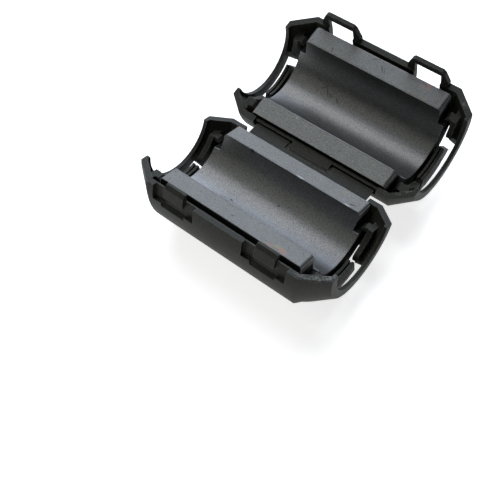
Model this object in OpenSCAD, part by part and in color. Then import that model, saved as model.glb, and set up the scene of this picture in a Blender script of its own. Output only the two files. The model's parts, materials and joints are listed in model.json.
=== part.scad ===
// Clip-on ferrite core for a cable: two half cores in a moulded clamshell, modelled lying open.
// X runs along the cable, +Y from the lower half to the upper half, +Z up from the surface it lies on.

/* [Cores] */
// Diameter of the cable hole through the closed cores
bore_d = 13; // [11:0.1:13]
// Outer diameter of the closed cores
core_d = 19.8; // [19:0.1:19.8]
// Height of one half core from its mating face to its flat
core_h = 9.3; // [8.6:0.1:9.3]
// Length of each half core
core_len = 29.8; // [29:0.1:29.8]
// Length of the raised mating strips
strip_len = 27.4; // [26:0.1:28]
// Drop from the mating strips to the shoulders at the core's ends
shoulder_drop = 3.2; // [3:0.1:3.4]

/* [Housing] */
// Width of the closed housing across its side walls
housing_w = 23.2; // [23.1:0.1:23.4]
// Length over the two end rings
housing_len = 37.4; // [37.2:0.1:37.6]
// Depth of one half shell from the parting plane to its back
shell_depth = 11.35; // [11.3:0.05:11.5]
// Thickness of the moulded walls
wall = 1.1; // [1:0.05:1.15]
// Diameter of the opening in each end ring
ring_d = 14.4; // [14:0.1:15]
// Outer diameter of the end rings at their tips
tip_d = 17.3; // [17:0.1:17.8]
// Thickness of the end rings along the cable
ring_t = 0.7; // [0.6:0.05:0.8]

/* [Tongues] */
// How far the sprung tongue in each back is bowed in
tongue_bow = 0.75; // [0.5:0.05:0.8]
// Width of the slots that free the tongue
tongue_slot = 0.7; // [0.5:0.1:0.9]

/* [Latch] */
// Width of each latch loop at its root
loop_w = 8; // [7.6:0.1:8.2]
// How far the loops reach past the parting plane
loop_reach = 2.95; // [2.8:0.05:3]
// Width of each catch
catch_w = 3.8; // [3.4:0.1:4]
// How far the catches rise past the parting plane
catch_rise = 0.9; // [0.6:0.1:1]

/* [Hinge] */
// Drop from each parting plane to its fold line
fold_drop = 1.3; // [1.2:0.1:1.4]
// Thickness of the hinge web
web_t = 0.4; // [0.35:0.05:0.45]
// Length of the hinge web along the cable
web_len = 24.1; // [22:0.1:24.2]
// Lean of each half as the clip lies open
lean = 15.58; // [15:0.02:16]

/* [Hidden] */

$fn = 96;
far = 60;                   // longer than anything that it cuts
slip = 0.05;                // running gap around the folds
plastic = "#26272a";
ferrite = "#6f747b";

// sections
side_r = housing_w / 2;
side_drop = 1.2;            // the side walls are straight for this far below the parting plane
latch_shift = 0.3;          // the housing stands this far towards the latch from the bore
latch_y = side_r + latch_shift;
hinge_y = side_r - latch_shift;
flat_half = sqrt(pow(side_r, 2) - pow(shell_depth - side_drop, 2));
face_gap = 0.03;            // from each mating face to the middle of the closed clip
rim_drop = 0.35;            // the cores stand this proud of the shell's rim
end_x = housing_len / 2;
core_r = core_d / 2;
bore_r = bore_d / 2;
core_x = 0.2;               // the cores have slid this far along their seats
strip_break = 0.45;         // chamfer at the ends of the mating strips

// end taper: a cone around the bore
tip_r = tip_d / 2;
cone_r = norm([flat_half + latch_shift, shell_depth]) + 0.03;
cone_x = 13.49;
cone_slope = (cone_r - tip_r) / (end_x - cone_x);
cone_wall = wall * sqrt(1 + cone_slope * cone_slope);

// fingers, plates, windows and slots at the ends; a pair is [latch side, hinge side]
finger_x = core_len / 2 + 1;
finger_t = 0.95;
finger_r = 9.6;             // outer radius of the free fingers
finger_to = [39, 52];       // angle below the parting plane at the middle of a finger's round tip
finger_drop = 2.3;
hook_reach = 1.25;
hook_slope = 0.55;
hook_y = [6.9, 8.3];
hook_gap = 0.1;             // over the core's shoulder
plate_from = [60, 65];      // angle below the parting plane
plate_x = [finger_x - 0.3, finger_x + finger_t];
plate_groove = [0.45, 0.75];
groove_depth = 0.65;
slot_x = plate_x[1] + 0.05; // the back wall ends here, and the ring stands free behind the slot
slot_y = [5.6, 4.8];
window_x = [-13.8, 12.6];   // inner edges of the corner windows
window_y = 8.7;
window_break = [0.5, 0.7];  // chamfer at a window's inner corner
window_neck = 1;            // the window narrows over this length, in front of the finger
window_edge = [0.9, 1.8];   // reach of the window into the back flat

// tongue
tongue_x = [-9.7, 8.5];
tongue_y = [-3.55, 4.2];
tongue_t = 1.1;
tongue_mid = (tongue_x[0] + tongue_x[1]) / 2;
tongue_half = (tongue_x[1] - tongue_x[0]) / 2;
bow_r = (tongue_half * tongue_half + tongue_bow * tongue_bow) / (2 * tongue_bow);

// latch: pockets and catches on the lower shell, loops on the upper one
latch_x = [-9.12, 8.55];    // middles of the two latches
pocket_depth = 0.82;
catch_drop = 0.1;           // the catches stand this far inside the side wall
catch_break = 0.55;         // chamfer along a catch's outer top edge
pocket_z = 3.15;
pocket_gap = 0.1;           // at each side of a loop
step_w = 4.7;               // the sloped step below each catch
step_z = 4.35;
ledge_z = 1.6;              // the catch's ledge, and the loop bar's near edge
loop_t = 0.75;
loop_tip_w = 6.3;
loop_break = 0.45;          // chamfer at the corners of a loop's tip
loop_window_w = 5.05;
loop_window_z = 5.2;

// hinge
fold_y = hinge_y - 0.34;
web_l = 2 * (fold_drop + face_gap);
web_x = [-11.7, -11.7 + web_len];
web_end_gap = 0.6;
bead_r = web_t / 2;
ledge_y = fold_y - bead_r - slip;
ledge_drop = 0.75;          // the wall beside the web ends this far below the parting plane
tab_x = [-4.1, 3.9];
tab_reach = 1.08;           // past the fold line
tab_t = 0.55;
tab_gap = 0.12;
frame_w = 0.5;              // the thinned frame in the web around the tab
frame_t = 0.2;

// the open pose: each half leans on the hinge-side edge of its back flat
fold_z = shell_depth * cos(lean) + (flat_half - latch_shift) * sin(lean)
         - fold_y * sin(lean) - fold_drop * cos(lean);

// ---- places ----

// from a half's own frame (bore along X, hinge at +Y, parting plane at Z = 0) to the lower half's place
module lower_place() {
    translate([0, -web_l / 2, fold_z])
        rotate([-lean, 0, 0])
            translate([0, -fold_y, fold_drop])
                children();
}

module upper_place() {
    mirror([0, 1, 0])
        lower_place()
            children();
}

// extrudes a Y-Z outline along X from x0 to x1
module along(x0, x1) {
    translate([x0, 0, 0])
        rotate([90, 0, 90])
            linear_extrude(x1 - x0)
                children();
}

// a block between two corners
module block(low, high) {
    translate(low)
        cube(high - low);
}

// ---- shell forms ----

module half_section(inset) {
    r = side_r - inset;
    translate([-latch_shift, 0])
        intersection() {
            union() {
                translate([0, -side_drop])
                    circle(r);
                translate([-r, -side_drop])
                    square([2 * r, side_drop]);
            }
            translate([-r, inset - shell_depth])
                square([2 * r, shell_depth - inset]);
        }
}

module end_cones(inset, length) {
    tip_at = cone_r - inset - cone_slope * (length / 2 - cone_x);
    rotate([0, 90, 0])
        rotate_extrude()
            polygon([
                [0, -length / 2],
                [tip_at, -length / 2],
                [cone_r - inset, -cone_x],
                [cone_r - inset, cone_x],
                [tip_at, length / 2],
                [0, length / 2]
            ]);
}

module shell_outside() {
    intersection() {
        along(-end_x, end_x)
            half_section(0);
        end_cones(0, housing_len);
    }
}

module shell_cavity() {
    reach = housing_len - 2 * ring_t;
    intersection() {
        along(-reach / 2, reach / 2)
            half_section(wall);
        end_cones(cone_wall, reach);
    }
    rotate([0, 90, 0])
        cylinder(d = ring_d, h = far, center = true);
}

// window at one corner of the back flat, cut straight down; dir is the end, side is the wall
module corner_window(dir, side) {
    start = dir > 0 ? window_x[1] : -window_x[0];
    ring_x = end_x - ring_t;
    ring_y = slot_y[side < 0 ? 0 : 1];
    translate([0, 0, -far])
        linear_extrude(far - tip_r / 2)
            polygon([
                for (p = [
                    [start, flat_half - window_edge[0]],
                    [start, window_y - window_break[1]],
                    [start + window_break[0], window_y],
                    [finger_x - window_neck, window_y],
                    [finger_x, ring_y + 1],
                    [ring_x, ring_y],
                    [ring_x, flat_half - 2 * window_edge[1]],
                    [start + window_edge[1], flat_half - window_edge[1]]
                ]) [dir * p[0], side * p[1]]
            ]);
}

// the window slot between the ring and the end of the back wall, and the windows at its corners
module end_openings(dir) {
    ring_x = end_x - ring_t;
    x0 = dir > 0 ? slot_x : -ring_x;
    block([x0, -slot_y[0], -far], [x0 + ring_x - slot_x, slot_y[1], -tip_r / 2]);
    for (side = [-1, 1])
        corner_window(dir, side);
}

// the outline between two angles below the parting plane, outside the cable's way
module sector(from, to, radius) {
    intersection() {
        difference() {
            circle(radius);
            circle(d = ring_d);
        }
        polygon([
            [0, 0],
            [far * cos(from), -far * sin(from)],
            [far * cos(to), -far * sin(to)]
        ]);
    }
}

// free finger behind the core's end, with a round tip in the corner window
module finger_outline(to) {
    difference() {
        union() {
            sector(0, to, finger_r);
            rotate(-to)
                translate([(finger_r + ring_d / 2) / 2, 0])
                    circle(d = finger_r - ring_d / 2);
        }
        translate([0, -finger_drop])
            square(far);
    }
}

// hook over the core's shoulder
module hook() {
    top = -finger_drop;
    low = hook_gap - shoulder_drop;
    root = finger_x + finger_t / 2;
    translate([0, hook_y[1], 0])
        rotate([90, 0, 0])
            linear_extrude(hook_y[1] - hook_y[0])
                polygon([
                    [root, top],
                    [finger_x - hook_reach + hook_slope, top],
                    [finger_x - hook_reach, top - hook_slope],
                    [finger_x - hook_reach, low],
                    [root, low]
                ]);
}

module finger(side) {
    mirror([0, side > 0 ? 0 : 1, 0]) {
        along(finger_x, finger_x + finger_t)
            finger_outline(finger_to[side < 0 ? 0 : 1]);
        hook();
    }
}

// upright plate across the middle of the back, behind the core's end, grooved along its top
module end_plate() {
    difference() {
        along(plate_x[0], plate_x[1])
            sector(plate_from[1], 180 - plate_from[0], cone_r);
        rotate([0, 90, 0])
            translate([0, 0, plate_x[0] + plate_groove[0]])
                cylinder(r = ring_d / 2 + groove_depth, h = plate_groove[1] - plate_groove[0]);
    }
}

module end_holders() {
    intersection() {
        shell_outside();
        for (dir = [0, 1])
            mirror([dir, 0, 0]) {
                end_plate();
                for (side = [-1, 1])
                    finger(side);
            }
    }
}

module tongue() {
    rise = bow_r + shell_depth - tongue_bow;
    intersection() {
        translate([tongue_mid, 0, -rise])
            rotate([90, 0, 0])
                difference() {
                    cylinder(r = bow_r + tongue_t, h = far, center = true, $fn = 240);
                    cylinder(r = bow_r, h = far, center = true, $fn = 240);
                }
        block([tongue_x[0] - 0.1, tongue_y[0] + tongue_slot, -shell_depth],
              [tongue_x[1] + 0.1, tongue_y[1] - tongue_slot, 0]);
    }
}

module tongue_opening() {
    block([tongue_x[0], tongue_y[0], -far], [tongue_x[1], tongue_y[1], -core_h]);
}

// notch that the web folds into
module web_notch() {
    x0 = web_x[0] - web_end_gap;
    x1 = web_x[1] + web_end_gap;
    block([x0, ledge_y, -fold_drop - bead_r - slip], [x1, far, far]);
    block([x0, core_r + slip, -ledge_drop], [x1, far, far]);
}

module half_shell() {
    difference() {
        shell_outside();
        shell_cavity();
        for (dir = [-1, 1])
            end_openings(dir);
        tongue_opening();
    }
    tongue();
    end_holders();
}

module rim_cut() {
    block([-far, -far, -rim_drop], [far, far, far]);
}

// ---- latch ----

module pocket(x) {
    half = loop_w / 2 + pocket_gap;
    block([x - half, -far, -pocket_z], [x + half, pocket_depth - latch_y, far]);
    along(x - step_w / 2, x + step_w / 2)
        polygon([
            [pocket_depth - latch_y, 0],
            [pocket_depth - latch_y, -pocket_z],
            [-latch_y, -step_z],
            [-latch_y - wall, -step_z],
            [-latch_y - wall, 0]
        ]);
}

module catch_block(x) {
    face = catch_drop - latch_y;
    back = wall - latch_y;
    along(x - catch_w / 2, x + catch_w / 2)
        polygon([
            [back, -pocket_z],
            [back, catch_rise],
            [face + catch_break, catch_rise],
            [face, catch_rise - catch_break],
            [face, -ledge_z],
            [pocket_depth - latch_y, -ledge_z],
            [pocket_depth - latch_y, -pocket_z]
        ]);
}

module loop_outline(x) {
    translate([x, 0])
        polygon([
            [-loop_w / 2, -wall],
            [-loop_w / 2, loop_break],
            [-loop_tip_w / 2, loop_reach - loop_break],
            [-loop_tip_w / 2 + loop_break, loop_reach],
            [loop_tip_w / 2 - loop_break, loop_reach],
            [loop_tip_w / 2, loop_reach - loop_break],
            [loop_w / 2, loop_break],
            [loop_w / 2, -wall]
        ]);
}

module loop_window(x) {
    bar_z = ledge_z + 2 * face_gap + slip;
    block([x - loop_window_w / 2, -far, -loop_window_z], [x + loop_window_w / 2, -core_r, bar_z]);
}

module latch_loop(x) {
    translate([0, loop_t - latch_y, 0])
        rotate([90, 0, 0])
            linear_extrude(loop_t)
                loop_outline(x);
}

// ---- hinge ----

// stiff tab on the upper shell, level with the wall beside the web
module hinge_tab() {
    along(tab_x[0], tab_x[1])
        polygon([
            [ledge_y - 0.4, -fold_drop - bead_r],
            [ledge_y - 0.4, -ledge_drop],
            [fold_y + tab_reach, -ledge_drop],
            [fold_y + tab_reach, -ledge_drop - tab_t],
            [fold_y, -fold_drop - bead_r]
        ]);
}

module web_outline() {
    for (side = [-1, 1])
        translate([side * web_l / 2, 0])
            circle(bead_r, $fn = 32);
    square([web_l, web_t], center = true);
}

// clears the web around the tab by a gap, down to a level
module tab_window(gap, level) {
    block([tab_x[0] - gap, web_l / 2 - tab_reach - gap, level], [tab_x[1] + gap, far, far]);
}

module hinge_web() {
    color(plastic)
        translate([0, 0, fold_z])
            difference() {
                along(web_x[0], web_x[1])
                    web_outline();
                tab_window(tab_gap, -far);
                tab_window(tab_gap + frame_w, frame_t - bead_r);
            }
}

// ---- cores ----

// side view of a half core: the mating strips, and the shoulders at both ends
module core_profile() {
    end = core_len / 2;
    strip = strip_len / 2;
    half = [
        [end, -core_h],
        [end, -shoulder_drop],
        [strip, -shoulder_drop],
        [strip, -face_gap - strip_break],
        [strip - strip_break, -face_gap]
    ];
    polygon(concat(half, [for (i = [len(half) - 1:-1:0]) [-half[i][0], half[i][1]]]));
}

module half_core() {
    translate([core_x, 0, 0])
        difference() {
            intersection() {
                rotate([0, 90, 0])
                    cylinder(r = core_r, h = core_len, center = true);
                translate([0, core_r, 0])
                    rotate([90, 0, 0])
                        linear_extrude(core_d)
                            core_profile();
            }
            rotate([0, 90, 0])
                cylinder(r = bore_r, h = far, center = true);
        }
}

// ---- nodes ----

module lower_shell() {
    color(plastic)
        lower_place() {
            difference() {
                half_shell();
                rim_cut();
                web_notch();
                for (x = latch_x)
                    pocket(x);
            }
            for (x = latch_x)
                catch_block(x);
        }
}

module upper_shell() {
    color(plastic)
        upper_place() {
            difference() {
                union() {
                    difference() {
                        half_shell();
                        rim_cut();
                    }
                    for (x = latch_x)
                        latch_loop(x);
                }
                web_notch();
                for (x = latch_x)
                    loop_window(x);
            }
            hinge_tab();
        }
}

module lower_core() {
    color(ferrite)
        lower_place()
            half_core();
}

module upper_core() {
    color(ferrite)
        upper_place()
            half_core();
}

lower_shell();
upper_shell();
hinge_web();
lower_core();
upper_core();
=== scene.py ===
import json
import math

import bpy
from mathutils import Matrix, Vector

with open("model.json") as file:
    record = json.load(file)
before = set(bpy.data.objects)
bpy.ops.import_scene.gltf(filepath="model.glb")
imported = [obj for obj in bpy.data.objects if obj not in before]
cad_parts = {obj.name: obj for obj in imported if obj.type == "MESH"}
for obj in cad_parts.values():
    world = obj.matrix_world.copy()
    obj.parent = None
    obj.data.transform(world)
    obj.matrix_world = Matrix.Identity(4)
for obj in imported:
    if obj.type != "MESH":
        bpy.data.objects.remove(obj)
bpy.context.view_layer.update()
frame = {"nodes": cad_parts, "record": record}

record = frame["record"]
mounts = {m["name"]: m for m in record["mounts"]}
joints = {j["name"]: j for j in record["behaviour"]["joints"]}

mm = 0.001
lean = 90.0 - joints["lower_fold"]["range_deg"][1]   # each half leans this far as the clip lies open
boreRadius = mounts["lower_bore"]["dims"]["r_mm"]


# camera

viewpoint = {
    "place": (0.046, -0.0704, 0.11308),
    "aim": (0.00362, -0.02034, 0.00898),
    "roll": -2.49,           # degrees, turned about the line of sight
    "lens": 56.79,
    "sensor": 36.0,
}


def makeCamera(plan):
    data = bpy.data.cameras.new("clipCamera")
    data.lens = plan["lens"]
    data.sensor_width = plan["sensor"]
    data.clip_start = 0.01
    data.clip_end = 10.0
    camera = bpy.data.objects.new("clipCamera", data)
    bpy.context.scene.collection.objects.link(camera)
    sight = Vector(plan["aim"]) - Vector(plan["place"])
    turn = sight.to_track_quat("-Z", "Y").to_matrix().to_4x4()
    camera.matrix_world = (
        Matrix.Translation(plan["place"]) @ turn @ Matrix.Rotation(math.radians(plan["roll"]), 4, "Z")
    )
    bpy.context.scene.camera = camera


# node helpers: each returns the socket that it makes

def newMaterial(name):
    material = bpy.data.materials.new(name)
    material.use_nodes = True
    nodes = material.node_tree.nodes
    nodes.clear()
    output = nodes.new("ShaderNodeOutputMaterial")
    shader = nodes.new("ShaderNodeBsdfPrincipled")
    material.node_tree.links.new(shader.outputs[0], output.inputs[0])
    return material, material.node_tree, shader


def plug(tree, value, socket):
    if isinstance(value, bpy.types.NodeSocket):
        tree.links.new(value, socket)
    else:
        socket.default_value = value


def mathNode(tree, operation, a, b=0.0):
    node = tree.nodes.new("ShaderNodeMath")
    node.operation = operation
    plug(tree, a, node.inputs[0])
    plug(tree, b, node.inputs[1])
    return node.outputs[0]


def ramp(tree, value, low, high, lowTo=0.0, highTo=1.0, smooth=True):
    node = tree.nodes.new("ShaderNodeMapRange")
    node.interpolation_type = "SMOOTHSTEP" if smooth else "LINEAR"
    plug(tree, value, node.inputs["Value"])
    plug(tree, low, node.inputs["From Min"])
    plug(tree, high, node.inputs["From Max"])
    plug(tree, lowTo, node.inputs["To Min"])
    plug(tree, highTo, node.inputs["To Max"])
    return node.outputs["Result"]


def mixColor(tree, factor, a, b, blend="MIX"):
    node = tree.nodes.new("ShaderNodeMix")
    node.data_type = "RGBA"
    node.blend_type = blend
    plug(tree, factor, node.inputs[0])
    plug(tree, a, node.inputs[6])
    plug(tree, b, node.inputs[7])
    return node.outputs[2]


def noise(tree, vector, scale, detail=3.0, rough=0.55, distortion=0.0):
    node = tree.nodes.new("ShaderNodeTexNoise")
    plug(tree, vector, node.inputs["Vector"])
    node.inputs["Scale"].default_value = scale
    node.inputs["Detail"].default_value = detail
    node.inputs["Roughness"].default_value = rough
    node.inputs["Distortion"].default_value = distortion
    return node.outputs["Fac"]


def cells(tree, vector, scale):
    node = tree.nodes.new("ShaderNodeTexVoronoi")
    plug(tree, vector, node.inputs["Vector"])
    node.inputs["Scale"].default_value = scale
    return node.outputs["Distance"], node.outputs["Color"]


def bump(tree, height, distance, strength, normal):
    node = tree.nodes.new("ShaderNodeBump")
    node.inputs["Distance"].default_value = distance
    node.inputs["Strength"].default_value = strength
    plug(tree, height, node.inputs["Height"])
    plug(tree, normal, node.inputs["Normal"])
    return node.outputs["Normal"]


def softEdge(tree, radius, samples=6):
    node = tree.nodes.new("ShaderNodeBevel")
    node.samples = samples
    node.inputs["Radius"].default_value = radius
    return node.outputs["Normal"]


def splitVector(tree, vector):
    node = tree.nodes.new("ShaderNodeSeparateXYZ")
    plug(tree, vector, node.inputs[0])
    return node.outputs[0], node.outputs[1], node.outputs[2]


def scaled(tree, vector, scale):
    node = tree.nodes.new("ShaderNodeVectorMath")
    node.operation = "MULTIPLY"
    plug(tree, vector, node.inputs[0])
    node.inputs[1].default_value = scale
    return node.outputs[0]


def grey(tree, level):
    node = tree.nodes.new("ShaderNodeCombineColor")
    for socket in node.inputs[:3]:
        plug(tree, level, socket)
    return node.outputs[0]


def shade(tree, value, spread):
    # a grey that swings about one, to multiply a colour by
    return grey(tree, ramp(tree, value, 0.35, 0.65, 1.0 - spread, 1.0 + spread, False))


def smudge(tree, place, middle, size, turn, fray):
    # an uneven spot: one at its middle, nothing past its size
    node = tree.nodes.new("ShaderNodeMapping")
    node.vector_type = "TEXTURE"
    tree.links.new(place, node.inputs["Vector"])
    node.inputs["Location"].default_value = (middle[0], middle[1], 0.0)
    node.inputs["Rotation"].default_value = (0.0, 0.0, math.radians(turn))
    node.inputs["Scale"].default_value = (size[0] / 2, size[1] / 2, 1.0)
    u, v = splitVector(tree, node.outputs["Vector"])[:2]
    reach = mathNode(tree, "SQRT", mathNode(tree, "ADD", mathNode(tree, "POWER", u, 2.0),
                                            mathNode(tree, "POWER", v, 2.0)))
    wobble = mathNode(tree, "MULTIPLY", mathNode(tree, "SUBTRACT", noise(tree, place, 3.0), 0.5), 2 * fray)
    return ramp(tree, mathNode(tree, "ADD", reach, wobble), 0.45, 1.1, 1.0, 0.0)


def edgeNearness(tree, reach):
    # how far the rounded normal has turned from the true one: zero on a flat, more near an edge
    geometry = tree.nodes.new("ShaderNodeNewGeometry")
    node = tree.nodes.new("ShaderNodeVectorMath")
    node.operation = "DOT_PRODUCT"
    tree.links.new(softEdge(tree, reach, 8), node.inputs[0])
    tree.links.new(geometry.outputs["True Normal"], node.inputs[1])
    return ramp(tree, node.outputs["Value"], 0.8, 0.99, 1.0, 0.0)


def halfFrame(tree, half):
    # millimetres in a half's own frame: bore along X, hinge at +Y, parting plane at Z = 0
    side = 1.0 if half == "lower" else -1.0
    middle = Vector(mounts[half + "_bore"]["pos_m"])
    middle.y *= side
    turn = Matrix.Rotation(math.radians(lean), 3, "X")
    coords = tree.nodes.new("ShaderNodeTexCoord")
    mapping = tree.nodes.new("ShaderNodeMapping")
    mapping.inputs["Scale"].default_value = (1 / mm, side / mm, 1 / mm)
    mapping.inputs["Rotation"].default_value = (math.radians(lean), 0.0, 0.0)
    mapping.inputs["Location"].default_value = -(turn @ middle) / mm
    tree.links.new(coords.outputs["Object"], mapping.inputs["Vector"])
    return mapping.outputs["Vector"]


def restFrame(tree):
    coords = tree.nodes.new("ShaderNodeTexCoord")
    return scaled(tree, coords.outputs["Object"], (1 / mm, 1 / mm, 1 / mm))


# black moulded nylon: a fine grain, rims and corners rubbed pale, dust and scuffs

nylon = {
    "color": (0.0235, 0.0238, 0.018, 1.0),
    "worn": (0.041, 0.0415, 0.034, 1.0),
    "rubbed": (0.105, 0.108, 0.092, 1.0),
    "dust": (0.2, 0.2, 0.185, 1.0),
    "roughness": 0.52,
    "roughSwing": 0.16,
    "gloss": 0.22,
    "tintSwing": 0.22,
    "speckSwing": 0.34,
    "dusting": 0.2,
    "broad": (0.16, 3.0, 0.55),     # each noise: grains to the millimetre, detail, roughness
    "grain": (5.0, 4.0, 0.62),
    "blotch": (1.1, 3.0, 0.6),
    "speckle": (3.4, 2.0, 0.75),
    "specks": (2.6, 2.0, 0.5),
    "scuffGrain": (3.4, 2.0, 0.7),
    "grainDepth": 0.02 * mm,
    "edge": 0.12 * mm,
    "wear": 0.32 * mm,       # how far rubbing reaches from an edge
}

# pale scuffs: x, y, length, width, turn in degrees, strength
scuffs = {
    "lower": [(14.6, -10.9, 3.4, 0.9, 12, 0.5), (16.4, -9.8, 2.2, 1.0, 25, 0.9),
              (17.6, -8.4, 2.8, 1.2, 55, 0.9), (18.0, -6.9, 1.6, 1.0, 70, 0.7)],
    "upper": [(17.5, 7.8, 2.6, 0.8, -60, 0.55), (16.1, 9.6, 1.4, 0.5, -30, 0.35),
              (16.4, -9.6, 1.8, 0.8, 30, 0.6)],
    "web": [],
}


def nylonMaterial(name, half):
    material, tree, shader = newMaterial(name)
    place = restFrame(tree) if half == "web" else halfFrame(tree, half)
    broad = noise(tree, place, *nylon["broad"])
    grain = noise(tree, place, *nylon["grain"])
    blotch = noise(tree, place, *nylon["blotch"])
    normal = softEdge(tree, nylon["edge"])
    rubbed = edgeNearness(tree, nylon["wear"])
    tint = ramp(tree, broad, 0.35, 0.7)
    color = mixColor(tree, mathNode(tree, "MULTIPLY", tint, nylon["tintSwing"]), nylon["color"], nylon["worn"])
    rubbed = mathNode(tree, "MULTIPLY", rubbed, ramp(tree, blotch, 0.38, 0.62, 0.25, 0.9))
    color = mixColor(tree, rubbed, color, nylon["rubbed"])
    speckle = shade(tree, noise(tree, place, *nylon["speckle"]), nylon["speckSwing"])
    color = mixColor(tree, 1.0, color, speckle, "MULTIPLY")
    specks = ramp(tree, noise(tree, place, *nylon["specks"]), 0.68, 0.75)
    color = mixColor(tree, mathNode(tree, "MULTIPLY", specks, nylon["dusting"]), color, nylon["dust"])
    speckled = ramp(tree, noise(tree, place, *nylon["scuffGrain"]), 0.42, 0.58)
    for x, y, length, width, turn, strength in scuffs[half]:
        mark = mathNode(tree, "MULTIPLY", speckled, smudge(tree, place, (x, y), (length, width), turn, 0.5))
        mark = mathNode(tree, "MULTIPLY", mark, ramp(tree, splitVector(tree, place)[2], -1.2, -0.4))
        color = mixColor(tree, mathNode(tree, "MULTIPLY", mark, strength), color, nylon["dust"])
    plug(tree, color, shader.inputs["Base Color"])
    rough = mathNode(tree, "ADD", nylon["roughness"], mathNode(tree, "MULTIPLY", grain, nylon["roughSwing"]))
    plug(tree, rough, shader.inputs["Roughness"])
    shader.inputs["Specular IOR Level"].default_value = nylon["gloss"]
    normal = bump(tree, grain, nylon["grainDepth"], 0.6, normal)
    plug(tree, normal, shader.inputs["Normal"])
    return material


# grey ferrite: ground mating faces, a satin bore and a dark sintered back, whose near-black colour also paints the
# shade on the core's sides and shoulders; painted glints and a painted dark line sit on the edges

ferrite = {
    "ground": (0.165, 0.169, 0.166, 1.0),
    "bore": (0.019, 0.0208, 0.0195, 1.0),
    # the sintered colour, darkened to near black so that it also paints the shade on the core's sides and
    # shoulders
    "sinteredAndShade": (0.007, 0.0072, 0.0068, 1.0),
    # dark of the pores and marks, also used for the painted shade along the bore's edge
    "poreAndEdgeShade": (0.035, 0.036, 0.038, 1.0),
    "stain": (0.33, 0.17, 0.13, 1.0),
    "oil": (0.27, 0.23, 0.1, 1.0),
    # pale: rubbed edges, and painted glints where an edge catches the light
    "rubbedAndGlint": (0.5, 0.52, 0.52, 1.0),
    "aged": (1.0, 0.99, 0.91, 1.0),
    "sinteredRough": 0.95,
    "groundRough": 0.78,
    "boreRough": 0.38,
    "roughSwing": 0.08,
    "ior": 2.5,
    "sinteredShine": 0.1,    # how much of the full shine each surface keeps
    "groundShine": 0.62,
    "boreShine": (0.3, 1.0),
    "dulled": 0.85,          # what a pore takes away from the shine
    "stripEnd": 13.7,        # where the mating faces stop, from the core's middle, mm
    "groundDepth": 1.7,      # how far down its ends the grinding shows, mm; below it the near-black sintered colour paints the shoulders' shade
    "rimStart": 7.2,         # the edges are rubbed pale, and carry a painted highlight, outside this radius, mm
    "hingeStrip": 6.0,       # the scuffed strip starts this far towards the hinge, mm
    "scuffing": {"lower": 0.25, "upper": 1.0},
    "broad": (0.35, 3.0, 0.6),      # each noise: grains to the millimetre, detail, roughness
    "mottle": (2.2, 4.0, 0.65),
    "fine": (4.4, 2.0, 0.7),
    "glint": (6.2, 2.0, 0.8),
    "scuffGrain": (2.6, 4.0, 0.75, 0.6),
    "swings": (0.06, 0.13, 0.2),    # how far broad, mottle and fine swing the colour
    "scuffSwing": 0.36,
    "cells": 2.1,                   # pores lie in cells, so many to the millimetre
    "bumpDepth": 0.03 * mm,
    "edge": 0.12 * mm,
    # how far the rubbed edges with their painted highlight reach from an edge
    "wear": 0.25 * mm,
}

# marks on the mating faces, stains and pores with painted glints among them: kind, x, y, length, width, turn in
# degrees, strength
marks = {
    "lower": [
        ("stain", -13.7, 9.7, 2.6, 1.0, 10, 0.75), ("stain", 7.4, -9.4, 1.5, 0.5, 10, 0.8),
        ("stain", 9.7, -9.2, 1.8, 1.0, -25, 1.0), ("oil", 8.6, -9.1, 1.5, 0.8, 0, 0.8),
        ("oil", 9.2, 9.1, 1.1, 0.6, 30, 0.7), ("poreAndEdgeShade", -7.8, 6.5, 0.9, 0.4, 0, 1.0),
        # the pale marks along the bore's edge are painted glints
        ("poreAndEdgeShade", 11.7, 7.3, 1.1, 0.3, 15, 1.0), ("rubbedAndGlint", 1.9, 6.7, 1.8, 0.4, 0, 0.8),
        ("rubbedAndGlint", 11.1, 6.7, 1.5, 0.4, 0, 0.7), ("poreAndEdgeShade", -0.2, -8.6, 0.4, 0.35, 0, 0.8),
        ("poreAndEdgeShade", -6.3, 0.3, 0.6, 0.4, 20, 1.0), ("poreAndEdgeShade", 0.8, 3.7, 0.6, 0.35, 0, 0.9),
    ],
    "upper": [
        ("stain", -14.0, 9.4, 2.2, 1.2, 60, 0.8), ("stain", 9.7, -9.3, 1.9, 0.7, 70, 0.9),
        ("stain", 8.7, -9.0, 1.4, 0.9, 0, 0.45), ("oil", 10.3, -7.0, 0.6, 0.5, 0, 0.9),
        ("poreAndEdgeShade", -0.9, -9.4, 2.0, 0.26, -25, 0.6), ("poreAndEdgeShade", 1.1, -8.3, 2.0, 0.26, 50, 0.6),
        ("poreAndEdgeShade", 1.7, -8.1, 1.6, 0.24, 55, 0.5), ("poreAndEdgeShade", -8.6, -7.4, 1.1, 0.3, 75, 0.6),
        # the pale mark along the bore's edge is a painted glint
        ("rubbedAndGlint", -6.1, 6.9, 0.5, 0.4, 0, 0.6), ("poreAndEdgeShade", -7.8, -3.0, 2.4, 0.3, -35, 0.6),
        ("poreAndEdgeShade", -6.9, -2.4, 2.0, 0.3, 60, 0.65), ("poreAndEdgeShade", -6.2, -2.2, 1.4, 0.8, 20, 0.4),
        ("poreAndEdgeShade", -4.5, -1.9, 1.9, 0.32, 40, 0.65), ("poreAndEdgeShade", -9.4, -3.6, 1.5, 0.25, 10, 0.6),
    ],
}


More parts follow.
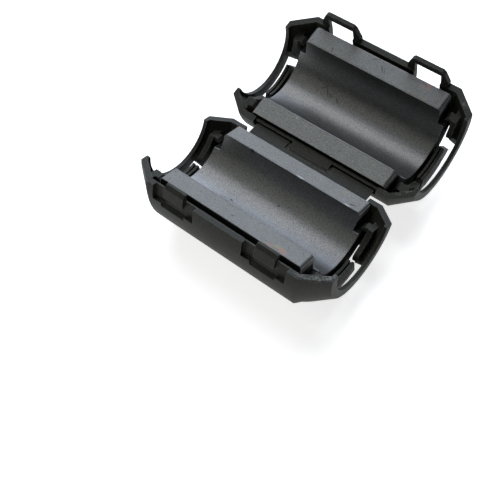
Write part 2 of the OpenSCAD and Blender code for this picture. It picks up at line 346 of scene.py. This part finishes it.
def ferriteMaterial(name, half):
    material, tree, shader = newMaterial(name)
    place = halfFrame(tree, half)
    x, y, z = splitVector(tree, place)
    radius = mathNode(tree, "SQRT", mathNode(tree, "ADD", mathNode(tree, "POWER", y, 2.0),
                                             mathNode(tree, "POWER", z, 2.0)))
    inBore = ramp(tree, radius, boreRadius + 0.05, boreRadius + 0.12, 1.0, 0.0)
    drop = mathNode(tree, "ADD", z, mathNode(tree, "MULTIPLY", noise(tree, place, 0.9), 0.5))
    stripEnd = ferrite["stripEnd"]
    ends = ramp(tree, mathNode(tree, "ABSOLUTE", x), stripEnd - 0.2, stripEnd - 0.08)
    ground = ramp(tree, drop, -ferrite["groundDepth"], -ferrite["groundDepth"] + 0.5)
    ground = mathNode(tree, "MAXIMUM", mathNode(tree, "MULTIPLY", ground, ends), ramp(tree, z, -0.3, -0.15))
    # below the ground faces the near-black sintered colour also paints the shade on the sides and shoulders
    color = mixColor(tree, ground, ferrite["sinteredAndShade"], ferrite["ground"])
    color = mixColor(tree, inBore, color, ferrite["bore"])
    # outer edges rubbed pale and lightened further as a painted highlight
    rim = ramp(tree, radius, ferrite["rimStart"], ferrite["rimStart"] + 0.4)
    rubAndHighlight = mathNode(tree, "MULTIPLY", edgeNearness(tree, ferrite["wear"]), rim)
    rubAndHighlight = mathNode(tree, "MULTIPLY", rubAndHighlight, ramp(tree, noise(tree, place, 0.8), 0.35, 0.6, 0.15, 0.55))
    color = mixColor(tree, mathNode(tree, "MULTIPLY", rubAndHighlight, ground), color, ferrite["rubbedAndGlint"])
    # painted shade: a broken dark line just outside the bore's edge, where the edge turns from the light
    boreEdgeShade = mathNode(tree, "MULTIPLY", ramp(tree, radius, boreRadius + 0.06, boreRadius + 0.12),
                    ramp(tree, radius, boreRadius + 0.22, boreRadius + 0.32, 1.0, 0.0))
    boreEdgeShade = mathNode(tree, "MULTIPLY", boreEdgeShade, ramp(tree, noise(tree, place, 0.7), 0.3, 0.6, 0.15, 0.6))
    color = mixColor(tree, boreEdgeShade, color, ferrite["poreAndEdgeShade"])
    broad, mottle, fine, glint = (
        noise(tree, place, *ferrite[grain]) for grain in ("broad", "mottle", "fine", "glint")
    )
    for grain, swing in zip((broad, mottle, fine), ferrite["swings"]):
        color = mixColor(tree, 1.0, color, shade(tree, grain, swing), "MULTIPLY")
    worn = ramp(tree, y, ferrite["hingeStrip"], ferrite["hingeStrip"] + 0.6, 0.0, ferrite["scuffing"][half])
    scuffed = noise(tree, scaled(tree, place, (1.0, 1.5, 1.0)), *ferrite["scuffGrain"])
    scuffed = shade(tree, scuffed, ferrite["scuffSwing"])
    scuffed = mixColor(tree, 1.0, scuffed, ferrite["aged"], "MULTIPLY")
    color = mixColor(tree, worn, color, mixColor(tree, 1.0, color, scuffed, "MULTIPLY"))
    distance, tone = cells(tree, place, ferrite["cells"])
    few = splitVector(tree, tone)[0]
    pores = mathNode(tree, "MULTIPLY", ramp(tree, distance, 0.15, 0.32, 1.0, 0.0), ramp(tree, few, 0.7, 0.97))
    color = mixColor(tree, mathNode(tree, "MULTIPLY", pores, 0.75), color, ferrite["poreAndEdgeShade"])
    dull = mathNode(tree, "MULTIPLY", pores, 0.5)
    for kind, across, along, length, width, turn, strength in marks[half]:
        mark = smudge(tree, place, (across, along), (length, width), turn, 0.9 if kind == "poreAndEdgeShade" else 0.55)
        low, high = (-0.75, -0.45) if abs(along) > boreRadius - 0.2 else (-20.0, -19.0)
        mark = mathNode(tree, "MULTIPLY", mark, ramp(tree, z, low, high, 0.0, strength))
        color = mixColor(tree, mark, color, ferrite[kind])
        if kind == "poreAndEdgeShade":
            dull = mathNode(tree, "MAXIMUM", dull, mark)
    plug(tree, color, shader.inputs["Base Color"])
    rough = ramp(tree, ground, 0.0, 1.0, ferrite["sinteredRough"], ferrite["groundRough"])
    satin = mathNode(tree, "ADD", mathNode(tree, "MULTIPLY", fine, ferrite["roughSwing"]), ferrite["boreRough"])
    rough = ramp(tree, inBore, 0.0, 1.0, rough, satin, False)
    plug(tree, rough, shader.inputs["Roughness"])
    shader.inputs["IOR"].default_value = ferrite["ior"]
    # the grain sparkles: its shine swings from speck to speck and goes out in the pores
    shine = ramp(tree, ground, 0.0, 1.0, ferrite["sinteredShine"], ferrite["groundShine"])
    shine = ramp(tree, inBore, 0.0, 1.0, shine, ramp(tree, glint, 0.32, 0.68, *ferrite["boreShine"], False), False)
    kept = mathNode(tree, "SUBTRACT", 1.0, mathNode(tree, "MULTIPLY", dull, ferrite["dulled"]))
    shine = mathNode(tree, "MULTIPLY", shine, kept)
    plug(tree, grey(tree, shine), shader.inputs["Specular Tint"])
    height = mathNode(tree, "SUBTRACT", mathNode(tree, "MULTIPLY", mottle, 0.6), dull)
    normal = bump(tree, height, ferrite["bumpDepth"], 0.6, softEdge(tree, ferrite["edge"]))
    plug(tree, normal, shader.inputs["Normal"])
    return material


def paint(node, material):
    mesh = frame["nodes"][node].data
    mesh.materials.clear()
    mesh.materials.append(material)


# floor, light and backdrop

studio = {
    "floorSize": 4.0,
    "floor": (0.9, 0.9, 0.9, 1.0),
    "lift": 0.78,            # added to the floor as the camera and gloss see it
    "world": 0.01,           # what the dark room gives to everything else
    "backdrop": (0.1, 0.2),  # where it ends, as the sine of the height over the floor
    "aim": (0.0, 0.0, 0.01),
    "back": {"place": (-0.185, 0.403, 0.233), "size": 0.32, "power": 1.72, "color": (0.86, 0.97, 1.15)},
    "key": {"place": (-0.185, 0.13, 0.449), "size": 0.32, "power": 1.22, "color": (0.96, 0.99, 1.03)},
    "front": {"place": (-0.19, -0.25, 0.385), "size": 0.34, "power": 0.28, "color": (1.0, 1.02, 0.93)},
}


def lightPath(tree, mirrored=1.0):
    # one for the rays that show the background; mirrored says how much of it a gloss shows
    node = tree.nodes.new("ShaderNodeLightPath")
    seen = mathNode(tree, "MAXIMUM", node.outputs["Is Camera Ray"], node.outputs["Is Transmission Ray"])
    return mathNode(tree, "MAXIMUM", seen, mathNode(tree, "MULTIPLY", node.outputs["Is Glossy Ray"], mirrored))


def makeFloor():
    half = studio["floorSize"] / 2
    mesh = bpy.data.meshes.new("floor")
    corners = [(-half, -half, 0.0), (half, -half, 0.0), (half, half, 0.0), (-half, half, 0.0)]
    mesh.from_pydata(corners, [], [(0, 1, 2, 3)])
    floor = bpy.data.objects.new("floor", mesh)
    floor.location.z = -0.02 * mm
    bpy.context.scene.collection.objects.link(floor)
    material, tree, shader = newMaterial("paleFloor")
    shader.inputs["Base Color"].default_value = studio["floor"]
    shader.inputs["Roughness"].default_value = 0.9
    shader.inputs["Specular IOR Level"].default_value = 0.0
    shader.inputs["Emission Color"].default_value = (1.0, 1.0, 1.0, 1.0)
    plug(tree, mathNode(tree, "MULTIPLY", lightPath(tree), studio["lift"]), shader.inputs["Emission Strength"])
    mesh.materials.append(material)


def makeWorld():
    world = bpy.data.worlds.new("studio")
    bpy.context.scene.world = world
    world.use_nodes = True
    tree = world.node_tree
    back = tree.nodes["Background"]
    back.inputs["Color"].default_value = (1.0, 1.0, 1.0, 1.0)
    # a gloss shows the pale backdrop that stands round the floor, and the dark room above it
    coords = tree.nodes.new("ShaderNodeTexCoord")
    height = splitVector(tree, coords.outputs["Generated"])[2]
    low, high = studio["backdrop"]
    seen = lightPath(tree, ramp(tree, height, low, high, 1.0, 0.0))
    strength = ramp(tree, seen, 0.0, 1.0, studio["world"], 1.0, False)
    plug(tree, strength, back.inputs["Strength"])


def makeLamp(name, plan):
    data = bpy.data.lights.new(name, "AREA")
    data.shape = "SQUARE"
    data.size = plan["size"]
    data.energy = plan["power"]
    data.color = plan["color"]
    lamp = bpy.data.objects.new(name, data)
    bpy.context.scene.collection.objects.link(lamp)
    lamp.location = plan["place"]
    sight = Vector(studio["aim"]) - Vector(plan["place"])
    lamp.rotation_euler = sight.to_track_quat("-Z", "Y").to_euler()


print("camera")
makeCamera(viewpoint)

print("materials")
paint("lower_shell", nylonMaterial("nylonLower", "lower"))
paint("upper_shell", nylonMaterial("nylonUpper", "upper"))
paint("hinge_web", nylonMaterial("nylonWeb", "web"))
paint("lower_core", ferriteMaterial("ferriteLower", "lower"))
paint("upper_core", ferriteMaterial("ferriteUpper", "upper"))

print("studio")
bpy.context.scene.view_settings.view_transform = "Standard"
makeFloor()
makeWorld()
for lampName in ("back", "key", "front"):
    makeLamp(lampName, studio[lampName])

print("finish")
